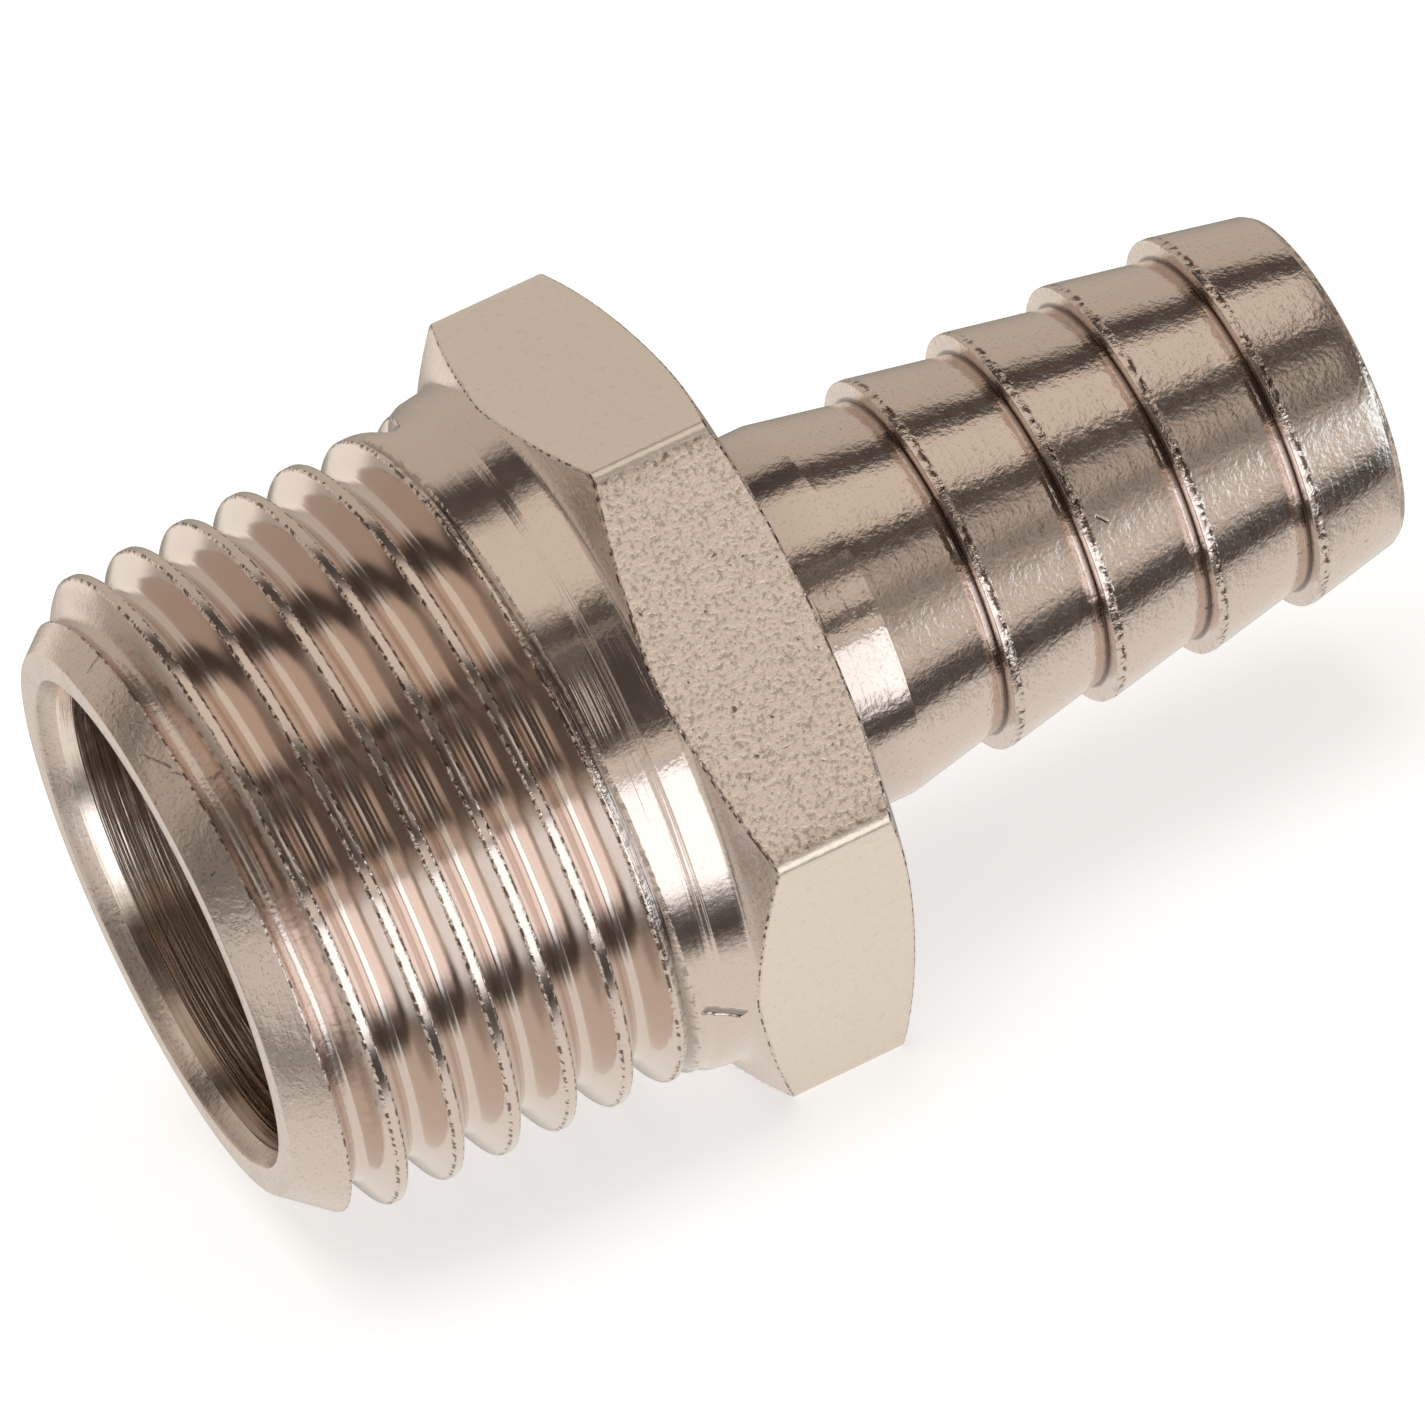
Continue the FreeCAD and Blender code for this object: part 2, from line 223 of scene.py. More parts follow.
def zone_light(low_end, high_end):
    here = []
    for wall in WALLS:
        near_end, far_end = wall[6:8]
        if min(far_end, high_end) - max(near_end, low_end) > 0.055:
            near_end = near_end if near_end > low_end + 0.055 else -2.0
            far_end = far_end if far_end < high_end - 0.055 else 2.0
            here.append((*wall[:6], near_end, far_end, *wall[8:]))
    light = None
    for tint in (WARM, PLAIN, COOL, SKY):
        same = sorted((w for w in here if w[5] == tint), key=lambda w: (w[6] > -2, w[7] < 2, w[0]))
        total = None
        for k in range(0, len(same), 3):
            three = same[k:k + 3]
            three += [three[-1][:4] + (0.0,) + three[-1][5:]] * (3 - len(three))
            start, stop, soft_in, soft_out, level, _, near_end, far_end, soft = zip(*three)
            part = wide_band(round_all, start, stop, soft_in, soft_out, -180, 180)
            ends = wide_band(reach_all, near_end, far_end, soft, soft, -1, 1)
            if ends is not None:
                part = g.vector("MULTIPLY", part, ends)
            part = g.vector("DOT_PRODUCT", part, level)
            total = part if total is None else g.math("ADD", total, part)
        if total is not None:
            shade = g.vector("SCALE", tint)
            g.put(shade.node.inputs["Scale"], total)
            light = shade if light is None else g.vector("ADD", light, shade)
    background = g.node("ShaderNodeBackground")
    g.put(background.inputs["Color"], g.vector("ADD", light, GAP))
    return background.outputs[0]


shine = zone_light(*ZONES[0])
for zone, soft in zip(ZONES[1:], (0.10, 0.09, 0.10)):
    both = g.node("ShaderNodeMixShader")
    g.put(both.inputs[0], g.step(reach, zone[0] - soft / 2, zone[0] + soft / 2))
    g.put(both.inputs[1], shine)
    g.put(both.inputs[2], zone_light(*zone))
    shine = both.outputs[0]
world.node_tree.nodes.remove(world.node_tree.nodes["Background"])
g.put(world.node_tree.nodes["World Output"].inputs["Surface"], shine)
scene.view_settings.view_transform = "Standard"

# Soft overhead light for the floor and the part's shadow on it.
overhead_data = bpy.data.lights.new("overhead", "AREA")
overhead_data.shape = "DISK"
overhead_data.size = 0.5
overhead_data.energy = 1.4
overhead = bpy.data.objects.new("overhead", overhead_data)
overhead.location = (-0.05, -0.10, 0.55)
overhead.rotation_euler = (Vector((-0.05, -0.10, 0.55))).to_track_quat("Z", "Y").to_euler()
overhead.visible_glossy = False
overhead.visible_camera = False
scene.collection.objects.link(overhead)

# ---------------------------------------------------------------- the part's surface
# One closed skin over the same sizes as the solid. z is measured along the passage from the thread's end face and r from
# the axis, in mm, and the angle goes round the axis from the flat that faces the camera, in degrees.
LENGTH = 38.96
FLAT = 10.95                            # axis to a flat of the hexagon
PITCH = 1.8143
TAPER = 1 / 32
CREST = 10.2213                         # crest radius at the end face
HALF_GROOVE = (PITCH - 0.30) / 2
STEEP = 1 / math.tan(math.radians(27.5))
ROOT = 0.33
GROOVE_AT = 1.548                       # a groove's middle at angle 0
FADE_FROM, FADE_LIFT = 5.752, PITCH * math.tan(math.radians(85.4))
MARK_FROM, MARK_AT, MARK_PITCH = 5.792, 11.18, 2.40     # the shallow mark beside the last crest
HELIX_START, HELIX_END = 0.30, 13.90    # the stretch whose rows follow the helix


def lower(a, b, k):
    """The smaller of two heights, with the edge between them rounded over."""
    h = np.clip(k - np.abs(a - b), 0, None)
    return np.minimum(a, b) - h * h / (4 * k)


def higher(a, b, k):
    h = np.clip(k - np.abs(a - b), 0, None)
    return np.maximum(a, b) + h * h / (4 * k)


def crest(z):
    return CREST + z * TAPER


def turned_outside(z):
    """Lead-in chamfer, taper, neck and collar, without the thread."""
    lead = 8.72 + z * (crest(1.86) - 8.72) / 1.86
    step = crest(12.86) + (z - 12.86) * (10.80 - crest(12.86)) / 0.34
    collar = 10.80 + (z - 13.20) * 0.11 / 0.78
    return lower(lead, higher(crest(z), lower(step, collar, 0.02), 0.02), 0.05)


def groove(z, middle, turn):
    """Height of the thread's groove whose middle is there; it climbs out as the thread ends."""
    t = np.abs(z - middle)
    bottom = crest(z) - HALF_GROOVE * STEEP
    arc = bottom + ROOT / math.sin(math.radians(27.5)) - np.sqrt(np.clip(ROOT**2 - t**2, 0, None))
    foot = ROOT * math.cos(math.radians(27.5))
    shape = np.where(t < foot, arc, bottom + t * STEEP)
    # the flank that faces the thread's end is a little full
    shape = shape + 0.60 * np.clip(z - middle - foot, 0, None) * np.clip(HALF_GROOVE - z + middle, 0, None)
    return shape + np.clip(turn - FADE_FROM, 0, None) * FADE_LIFT


def mark(angle):
    """The shallow mark: its middle and its depth at each angle."""
    turned = 6 + angle / 360 - MARK_FROM
    deep = 0.08 + 0.36 * turned
    there = np.clip((angle + 79) / 6, 0, 1) * np.clip((106 - angle) / 8, 0, 1)
    return MARK_AT + MARK_PITCH * turned, np.clip(deep, 0.02, None), there


def path(points, segments=4):
    """A turned profile through (z, r) or (z, r, radius) points, its corners rounded by that radius."""
    out = []
    for i, p in enumerate(points):
        a = np.array(p[:2], float)
        radius = p[2] if len(p) > 2 else 0
        if not radius or i in (0, len(points) - 1):
            out.append(a)
            continue
        u = np.array(points[i - 1][:2], float) - a
        v = np.array(points[i + 1][:2], float) - a
        u /= np.linalg.norm(u)
        v /= np.linalg.norm(v)
        half = math.acos(np.clip(u @ v, -1, 1)) / 2
        back = radius / math.tan(half)
        centre = a + (u + v) / np.linalg.norm(u + v) * radius / math.sin(half)
        p0, p1 = a + u * back - centre, a + v * back - centre
        t0, t1 = math.atan2(p0[1], p0[0]), math.atan2(p1[1], p1[0])
        sweep = (t1 - t0 + math.pi) % (2 * math.pi) - math.pi
        n = p[3] if len(p) > 3 else segments
        out += [centre + radius * np.array([math.cos(t0 + sweep * k / n), math.sin(t0 + sweep * k / n)]) for k in range(n + 1)]
    return np.array(out)


def columns():
    """Angles of the skin's columns: even, with more at the hexagon's corners."""
    base = np.arange(-180, 180, 1.875)
    corners = np.arange(-150, 180, 60)
    extra = np.concatenate([corners + d for d in (-1.35, -1.0, -0.66, -0.33, 0.33, 0.66, 1.0, 1.35)])
    return np.sort(np.concatenate([base, extra]))


def hexagon(angle):
    """Axis to the hexagon's side, its corners a little rounded."""
    near = np.radians((angle + 30) % 60 - 30)
    return lower(FLAT / np.cos(near), FLAT / np.cos(math.radians(60) - np.abs(near)), 0.28)


def helix_rows(angle):
    """Rows that follow the thread. Returns z and r of each, how near each is to a crest's edge, the painted shade in
    the shallow mark, and the rows in one turn.
    """
    first, last = -2, 7
    turns = np.arange(first, last + 2)[:, None] + angle[None, :] / 360
    middle = GROOVE_AT + turns * PITCH
    s = np.linspace(-0.95, 0.95, 761)[:, None, None]
    z = middle[None] + s
    over = turned_outside(z) - groove(z, middle[None], turns[None])
    left, right = np.zeros_like(middle), np.zeros_like(middle)
    for i in range(middle.shape[0]):
        for j in range(middle.shape[1]):
            f = over[:, i, j]
            inside = np.nonzero(f > 0)[0]
            if len(inside) < 2:
                left[i, j] = right[i, j] = z[np.argmax(f), i, j]
                continue
            a, b = inside[0], inside[-1]
            za, zb = z[a, i, j], z[b, i, j]
            if a > 0:
                za -= (z[1, i, j] - z[0, i, j]) * f[a] / (f[a] - f[a - 1])
            if b < len(s) - 1:
                zb += (z[1, i, j] - z[0, i, j]) * f[b] / (f[b] - f[b + 1])
            left[i, j], right[i, j] = za, zb
    left, right = (np.clip(x, HELIX_START, HELIX_END) for x in (left, right))
    a = 0.032
    rows, edge, recess_shade = [], [], []
    mark_at, mark_deep, mark_there = mark(angle)
    mark_half = mark_deep * math.tan(math.radians(50))

    def add(z, e=0.0, shade_in_recess=0.0):
        rows.append(z)
        edge.append(np.broadcast_to(e, z.shape))
        recess_shade.append(np.broadcast_to(shade_in_recess, z.shape))

    for i in range(len(middle) - 1):
        L, R, C, N = left[i], right[i], middle[i], left[i + 1]
        live = np.clip((R - L) / 0.25, 0, 1)
        M = (L + R) / 2
        L2, R2 = np.minimum(L + 2 * a, M), np.maximum(R - 2 * a, M)
        reach = ROOT * math.cos(math.radians(27.5))
        RL, RR = np.clip(C - reach, L2, R2), np.clip(C + reach, L2, R2)
        RC = np.clip(C, RL, RR)
        add(L, live), add(np.minimum(L + a, M), live * 0.6), add(L2)
        add(L2 + (RL - L2) * 0.35), add(L2 + (RL - L2) * 0.7)
        add(RL), add(RL + (RC - RL) * 0.36), add(RL + (RC - RL) * 0.7), add(RC)
        add(RC + (RR - RC) * 0.3), add(RC + (RR - RC) * 0.64), add(RR)
        add(RR + (R2 - RR) * 0.3), add(RR + (R2 - RR) * 0.65)
        add(R2), add(np.maximum(R - a, M), live * 0.6), add(R, live)
        live_next = np.clip((right[i + 1] - N) / 0.25, 0, 1)
        M = (R + N) / 2
        S, E = np.minimum(R + 2 * a, M), np.maximum(N - 2 * a, M)
        add(np.minimum(R + a, M), live * 0.6), add(S)
        for ring in (1.80, 1.86, 1.92):
            add(np.clip(ring, S, E))
        # the shallow mark's middle gets painted shade, darker in its groove
        for side, e, shade_in_recess in ((-1.12, 0.3, 0.0), (-0.9, 0.5, 0.0), (-0.15, 0.1, 0.5), (0.15, 0.0, 0.5), (0.9, 0.4, 0.0), (1.12, 0.1, 0.0)):
            there = mark_there * (i == 7)
            at = np.where(there > 0, np.clip(mark_at + side * mark_half, S, E), S)
            add(at, e * there, shade_in_recess * there)
        add((np.clip(1.92, S, E) + np.clip(12.83, S, E)) / 2)
        for ring in (12.83, 12.86, 12.89, 13.17, 13.20, 13.23):
            add(np.clip(ring, S, E))
        add(E), add(np.maximum(N - a, M), live_next * 0.6)
    per_turn = len(rows) // (len(middle) - 1)
    add(np.full_like(N, HELIX_END))
    z = np.clip(np.array(rows), HELIX_START, HELIX_END)
    z = np.maximum.accumulate(z, axis=0)
    cut = np.min([groove(z, m[None], t[None]) for m, t in zip(middle, turns)], axis=0)
    r = lower(turned_outside(z), cut, 0.10)
    dent = crest(z) - mark_deep * mark_there + np.abs(z - mark_at) / math.tan(math.radians(50)) + 1.0 * (mark_there == 0)
    r = lower(r, dent, 0.03)
    return z, r, np.array(edge), np.array(recess_shade), per_turn


def hexagon_rows(angle):
    """From the collar over the hexagon to its hose-side face: z, r, how near an edge, and which rows lie on the flats."""
    side = hexagon(angle)
    cone_rise = (12.66 - 11.14) / 0.78
    low = np.linspace(13.9, 15.6, 400)
    collar = 10.80 + (low - 13.20) * 0.11 / 0.78
    cone = 11.14 + (low - 14.33) * cone_rise
    outer = higher(collar, cone, 0.34)
    # hose side: an arc through the corners' end and the face's rim
    p, q, R = np.array([18.72, 12.66]), np.array([19.54, 9.4]), 9.8
    m, d = (p + q) / 2, q - p
    h = math.sqrt(R * R - (d @ d) / 4)
    n = np.array([d[1], -d[0]]) / np.linalg.norm(d)
    c = m + n * h if (m + n * h)[0] < m[0] else m - n * h
    rr = np.linspace(9.4, 12.9, 300)
    dome = c[0] + np.sqrt(R * R - (rr - c[1]) ** 2)
    rows, heights, edge, flat = [], [], [], []

    def add(z, r, e=0.0, f=0.0):
        z = np.broadcast_to(z, side.shape)
        rows.append(z), heights.append(np.broadcast_to(r, side.shape))
        edge.append(np.broadcast_to(e, side.shape)), flat.append(np.broadcast_to(f, side.shape))

    start = np.interp(side, outer, low)
    end = np.interp(side, rr, dome)
    k = 0.07
    for z in (13.98, 14.04, 14.10, 14.16, 14.22, 14.29, 14.38, 14.55, 14.75, 14.95):
        z = np.minimum(z, start - 0.045)
        add(z, lower(np.interp(z, low, outer), side, k))
    for d, e in ((-0.03, 0.6), (-0.01, 1.0), (0.015, 1.0), (0.05, 1.0), (0.09, 0.0)):
        z = start + d
        add(z, lower(np.interp(z, low, outer), side, k), e, 1.0 if d > 0.01 else 0.0)
    for t in (0.02, 0.2, 0.4, 0.6, 0.8, 0.98):
        z = start + 0.09 + (end - 0.09 - start - 0.09) * t
        add(z, side, 0.0, 1.0)
    # rounded edge between flat and dome, then down the dome to the face
    for t, e in ((0.085, 0.0), (0.05, 1.0), (0.0, 1.0), (-0.035, 0.5), (-0.07, 0.0)):
        r = side + np.minimum(t, 0) * 1.6
        z = np.where(t > 0, end - t, np.interp(side - 0.0 + np.minimum(t, 0) * 1.6, rr, dome))
        drop = 0.022 * (1 - min(abs(t) / 0.07, 1)) ** 2
        add(z - drop * 0.5, r - drop, e, 1.0 if t > 0.01 else 0.0)
    low_r = side - 0.112
    for t in (0.25, 0.5, 0.75, 1.0):
        r = low_r + (9.45 - low_r) * t
        add(np.interp(r, rr, dome), r)
    return np.array(rows), np.array(heights), np.array(edge), np.array(flat)


def build_skin():
    angle = columns()
    n = len(angle)
    ring = lambda pts: (np.repeat(pts[:, :1], n, 1), np.repeat(pts[:, 1:2], n, 1))
    # each block holds z, r, edge, flat and, as its fifth item, the painted shade in recesses
    blocks = []   # z, r, edge, flat, kind
    nothing = lambda z: np.zeros_like(z)
    lead = (crest(1.86) - 8.72) / 1.86
    start = path([(0.6, 7.55), (0.57, 7.55), (0, 7.85, 0.03, 3), (0, 8.72, 0.05, 4), (HELIX_START, 8.72 + HELIX_START * lead)])[2:-1]
    z, r = ring(start)
    blocks.append((z, r, nothing(z), nothing(z), nothing(z)))
    z, r, e, shade_in_recess, per_turn = helix_rows(angle)
    helix_first = sum(len(b[0]) for b in blocks)
    blocks.append((z, r, e, nothing(z), shade_in_recess))
    helix_last = helix_first + len(z) - 1
    z, r, e, f = hexagon_rows(angle)
    blocks.append((z, r, e, f, nothing(z)))
    tail = [(19.54, 9.4, 0.04, 3), (19.54, 5.98, 0.2, 5), (22.25, 5.98, 0.06, 2)]
    for i in range(4):
        s = 25.36 + i * 3.423
        fall = 0.58 / 2.983 if i < 3 else (5.98 - 5.405) / (38.67 - s - 0.24)
        tail += [(s - 0.20, 5.40, 0.04, 2), (s - 0.09, 5.40), (s, 5.40, 0.05, 3), (s, 5.53), (s, 5.98, 0.045, 4), (s + 0.24, 5.98, 0.06, 2)]
        tail += [(s + 0.24 + d, 5.98 - d * fall) for d in (0.11, 0.2, 1.1, 2.2)]
    tail += [(38.67, 5.405, 0.10, 2), (38.90, 5.26, 0.16, 3), (38.96, 5.12, 0.05, 2), (38.96, 4.60, 0.03, 2), (38.76, 4.40, 0.03, 2)]
    drill = 13.0 + 3.0 / math.tan(math.radians(59))
    inside = [(30.0, 4.40), (22.0, 4.40), (drill, 4.40, 0.04, 2), (13.0, 7.40, 0.08, 3), (11.0, 7.40), (8.0, 7.40), (5.0, 7.40), (3.0, 7.40),
              (1.02, 7.40, 0.02, 2), (0.57, 7.55, 0.02, 2), (0.1, 7.797)]
    line = path([(19.40, 9.9)] + tail + inside)[1:]
    z, r = ring(line)
    e, shade_in_recess = nothing(z), nothing(z)
    e = np.maximum(e, 0.5 * ((z > 38.85) & (r > 4.9)))
    for i in range(4):
        s = 25.36 + i * 3.423
        # painted shade in the inner corner at each barb's foot
        shade_in_recess = np.maximum(shade_in_recess, np.clip(1.4 - np.hypot(z - s, r - 5.40) / 0.10, 0, 1))
        e = np.maximum(e, 0.22 * np.clip(1 - np.abs(z - s - 0.02) / 0.08, 0, 1) * (r > 5.9))
        e = np.maximum(e, np.clip(1.15 - np.abs(z - s - 0.24) / 0.10, 0, 1) * (r > 5.9))
    # painted shade in the corner where the hexagon's face meets the land
    shade_in_recess = np.maximum(shade_in_recess, 0.7 * np.clip(1.2 - np.hypot(z - 19.6, r - 6.03) / 0.16, 0, 1))
    # painted shade just inside the bore's mouth
    shade_in_recess = np.maximum(shade_in_recess, 0.30 * ((z < 0.56) & (r > 7.5) & (r < 7.81)))
    blocks.append((z, r, e, nothing(z), shade_in_recess))
    z, r, e, f, shade_in_recess = (np.concatenate([b[i] for b in blocks]) for i in range(5))
    return angle, z, r, e, f, shade_in_recess, helix_first, helix_last, per_turn


# ---------------------------------------------------------------- metal
# Heights are in mm. Each finish is the same bright plating over a different surface: polished turning, the matte pitted
# flats that the bar had before it was turned, and the drilled bore with its tool marks.
class Finish(Graph):
    def __init__(self, name, colour):
        self.material = bpy.data.materials.new(name)
        self.material.use_nodes = True
        super().__init__(self.material.node_tree)
        self.shader = self.tree.nodes["Principled BSDF"]
        self.shader.inputs["Metallic"].default_value = 1.0
        self.colour = colour
        place = self.node("ShaderNodeTexCoord").outputs["Object"]
        self.place = self.vector("MULTIPLY", place, (1000.0, 1000.0, 1000.0))
        part = self.node("ShaderNodeSeparateXYZ")
        self.put(part.inputs[0], self.place)
        self.length_at = self.math("ADD", part.outputs[0], LENGTH / 2)
        y, up = part.outputs[1], self.math("SUBTRACT", part.outputs[2], AXIS_HEIGHT)
        self.radius = self.math("SQRT", self.math("ADD", self.math("MULTIPLY", y, y), self.math("MULTIPLY", up, up)))
        self.side = (self.math("DIVIDE", y, self.radius), self.math("DIVIDE", up, self.radius))

    def attribute(self, name):
        return self.node("ShaderNodeAttribute", attribute_name=name).outputs["Fac"]

    def noise(self, scale, detail=2.0, rough=0.5, where=None, shift=0.0):
        """Noise from about -0.5 to 0.5, with that many features per mm."""
        n = self.node("ShaderNodeTexNoise")
        v = self.place if where is None else where
        if shift:
            v = self.vector("ADD", v, (shift, shift * 0.7, -shift))
        self.put(n.inputs["Vector"], v)
        n.inputs["Scale"].default_value = scale
        n.inputs["Detail"].default_value = detail
        n.inputs["Roughness"].default_value = rough
        return self.math("SUBTRACT", n.outputs[0], 0.5)

    def lathe(self, along_it, around, radial=0.0):
        """Coordinates for marks that run round the part: fine along it, long around it."""
        c = self.node("ShaderNodeCombineXYZ")
        z = self.math("MULTIPLY", self.length_at, along_it)
        if radial:
            z = self.math("ADD", z, self.math("MULTIPLY", self.radius, radial))
        self.put(c.inputs[0], z)
        self.put(c.inputs[1], self.math("MULTIPLY", self.side[0], around))
        self.put(c.inputs[2], self.math("MULTIPLY", self.side[1], around))
        return c.outputs[0]

    def pits(self, per_mm, share, small, large, where=None, shift=0.0):
        """Small round pits: 1 in the middle of each and 0 outside, in a share of the cells."""
        v = self.node("ShaderNodeTexVoronoi", feature="F1")
        at = self.place if where is None else where
        if shift:
            at = self.vector("ADD", at, (shift, -shift, shift * 0.6))
        wobble = self.node("ShaderNodeTexNoise")
        self.put(wobble.inputs["Vector"], at)
        wobble.inputs["Scale"].default_value = per_mm * 2.2
        wobble.inputs["Detail"].default_value = 0.0
        at = self.vector("ADD", at, self.vector("MULTIPLY", self.vector("SUBTRACT", wobble.outputs["Color"], (0.5, 0.5, 0.5)), (0.5 / per_mm,) * 3))
        self.put(v.inputs["Vector"], at)
        v.inputs["Scale"].default_value = per_mm
        v.inputs["Randomness"].default_value = 1.0
        chance = self.node("ShaderNodeSeparateXYZ")
        self.put(chance.inputs[0], v.outputs["Color"])
        size = self.step(chance.outputs[0], 1 - share, 1.0, 0.0, 1.0)
        reach = self.math("MULTIPLY_ADD", size, (large - small) * per_mm, small * per_mm)
        inside = self.math("SUBTRACT", 1.0, self.math("DIVIDE", v.outputs["Distance"], reach))
        there = self.math("GREATER_THAN", chance.outputs[0], 1 - share)
        return self.math("MULTIPLY", self.step(inside, 0.0, 0.7), there)

    def total(self, *parts):
        out = parts[0]
        for p in parts[1:]:
            out = self.math("ADD", out, p)
        return out

    def scar(self, start, end, half_width):
        """1 along a short straight nick between two (z, angle) points, falling to 0 at its sides."""
        if not hasattr(self, "arc"):
            y, up = self.side
            ahead = self.math("ADD", self.math("MULTIPLY", y, front[1]), self.math("MULTIPLY", up, front[2]))
            under = self.math("ADD", self.math("MULTIPLY", y, down[1]), self.math("MULTIPLY", up, down[2]))
            self.arc = self.math("MULTIPLY", self.math("ARCTAN2", under, ahead), self.radius)
        size = start[2]
        p = Vector((start[0], math.radians(start[1]) * size))
        q = Vector((end[0], math.radians(end[1]) * size))
        d = (q - p).normalized()
        x, y = self.math("SUBTRACT", self.length_at, p.x), self.math("SUBTRACT", self.arc, p.y)
        on = self.math("ADD", self.math("MULTIPLY", x, d.x), self.math("MULTIPLY", y, d.y))
        off = self.math("ADD", self.math("MULTIPLY", x, -d.y), self.math("MULTIPLY", y, d.x))
        ends = self.math("MULTIPLY", self.step(on, 0.0, 0.1), self.step(on, (q - p).length - 0.1, (q - p).length, 1.0, 0.0))
        sides = self.step(self.math("ABSOLUTE", self.math("ADD", off, self.wander)), half_width, half_width * 0.1)
        return self.math("MULTIPLY", ends, sides)

    def finish(self, height, roughness, shade, tone=(0.34, 0.28, 0.24)):
        bump = self.node("ShaderNodeBump")
        bump.inputs["Strength"].default_value = 1.0
        bump.inputs["Distance"].default_value = MM
        self.put(bump.inputs["Height"], height)
        self.put(self.shader.inputs["Normal"], bump.outputs[0])
        self.put(self.shader.inputs["Roughness"], roughness)
        dark = tuple(c * k for c, k in zip(self.colour, tone))
        self.put(self.shader.inputs["Base Color"], self.mix(shade, (*self.colour, 1), (*dark, 1)))
        return self.material


PLATING = (0.735, 0.628, 0.568)


def turned_finish():
    f = Finish("turned_plating", PLATING)
    times, total, noise = (lambda *p: f.math("MULTIPLY", *p)), f.total, f.noise
    peel, marks, edge, recess_shade, matt = (f.attribute(n) for n in ("peel", "marks", "edge", "recess_shade", "matt"))
    f.wander = times(noise(4.0, 0.0, shift=7.0), 0.10)
    grain = total(times(noise(3.2, 1.0), 0.0092), times(noise(8.0, 1.0, 0.6), 0.0062))
    streaks = total(
        times(noise(1.0, 2.0, 0.65, where=f.lathe(8.0, 1.3)), 0.0128),
        times(noise(1.0, 1.0, 0.6, where=f.lathe(2.6, 0.8), shift=5.0), 0.016))
    # the burred edges of the thread, the barbs and the hexagon
    burr = times(noise(4.6, 2.0, 0.6, shift=3.0), 0.080)
    dots = f.step(noise(3.8, 1.0, 0.5, shift=14.0), 0.02, 0.07)
    pits = f.pits(1.9, 0.20, 0.02, 0.085)
    nicks = total(
        times(f.scar((12.5, 58.0, 10.6), (13.75, 64.0), 0.20), 2.2),
        f.scar((0.37, -53.6, 9.2), (1.08, -56.9), 0.045),
        f.scar((0.30, -31.0, 9.0), (0.85, -25.0), 0.035),
        f.scar((0.55, -37.0, 9.2), (1.15, -33.5), 0.035),
        f.scar((0.75, -24.0, 9.3), (1.30, -19.5), 0.03),
        f.scar((0.35, -43.0, 9.1), (0.70, -46.0), 0.05),
        f.scar((38.2, 12.0, 5.5), (38.6, 5.0), 0.05),
        f.scar((29.35, 9.0, 5.6), (29.7, 12.5), 0.07))
    height = total(
        times(grain, peel), times(streaks, marks), times(burr, edge), times(nicks, -0.05))
    rough = f.math("ADD", total(times(noise(1.4, 1.0, shift=12.0), 0.10), times(edge, 0.05), times(matt, 0.11)), 0.145, clamp=True)
    # the shade includes painted shade in the inner corners at the barbs and the hexagon, in the shallow mark and in the
    # bore's mouth
    shade = total(
        times(times(pits, 0.55), peel), times(times(dots, edge), 1.15), times(recess_shade, 1.1),
        times(times(f.step(noise(9.0, 1.0, shift=17.0), 0.10, 0.2), peel), 0.22), times(nicks, 0.3))
    return f.finish(height, rough, f.math("ADD", shade, 0.0, clamp=True), (0.20, 0.16, 0.14))


def flat_finish():
    # the more pitted flats, the facing one most, get the lighter, warmer colour as painted light
    smooth, lit_pitted_colour = (0.79, 0.70, 0.61), (0.99, 0.83, 0.71)
    f = Finish("flat_plating", smooth)
    f.shader.inputs["Metallic"].default_value = 0.6     # the matte skin of the drawn bar under the plating
    times, noise = (lambda *p: f.math("MULTIPLY", *p)), f.noise
    edge, pitted_and_lit, corner = (f.attribute(n) for n in ("edge", "pitted_and_lit", "corner"))
    skin = f.math("SUBTRACT", 1.0, corner)
    rough_and_lit_skin = times(pitted_and_lit, skin)
    grain = f.total(times(noise(2.6, 1.0), 0.007), times(times(noise(6.5, 3.0, 0.65), f.math("MULTIPLY_ADD", rough_and_lit_skin, 0.034, 0.003)), 1.0))
    pits = times(f.pits(2.3, 0.50, 0.02, 0.10), rough_and_lit_skin)
    lip = times(noise(6.0, 2.0, 0.6, shift=3.0), f.math("MULTIPLY_ADD", corner, 0.012, times(edge, 0.05)))
    height = f.total(grain, times(pits, -0.020), lip)
    rough = f.math("MULTIPLY_ADD", noise(3.0, 1.0, shift=12.0), 0.12, f.math("MULTIPLY_ADD", corner, -0.16, 0.40))
    mottle = f.total(times(f.step(noise(6.5, 3.0, 0.65), 0.02, -0.15), 0.50), times(f.step(noise(3.2, 2.0, 0.6, shift=21.0), 0.02, 0.20), 0.10))
    smudge = times(f.step(noise(3.4, 3.0, 0.6, shift=18.0), 0.08, 0.22), 0.13)
    shade = f.total(
        times(pits, 0.95), times(mottle, rough_and_lit_skin), times(times(smudge, skin), f.math("SUBTRACT", 1.0, pitted_and_lit)),
        times(times(f.step(noise(5.0, 1.0, 0.5, shift=14.0), 0.00, 0.06), edge), f.math("MULTIPLY_ADD", pitted_and_lit, 0.55, 0.15)),
        times(times(edge, pitted_and_lit), 0.45))
    f.finish(height, rough, f.math("ADD", shade, 0.0, clamp=True), (0.30, 0.24, 0.20))
    # painted light: the base colour turns lighter and warmer where a flat is pitted
    last = f.shader.inputs["Base Color"].links[0].from_node
    f.put(last.inputs[6], f.mix(rough_and_lit_skin, (*smooth, 1), (*lit_pitted_colour, 1)))
    return f.material


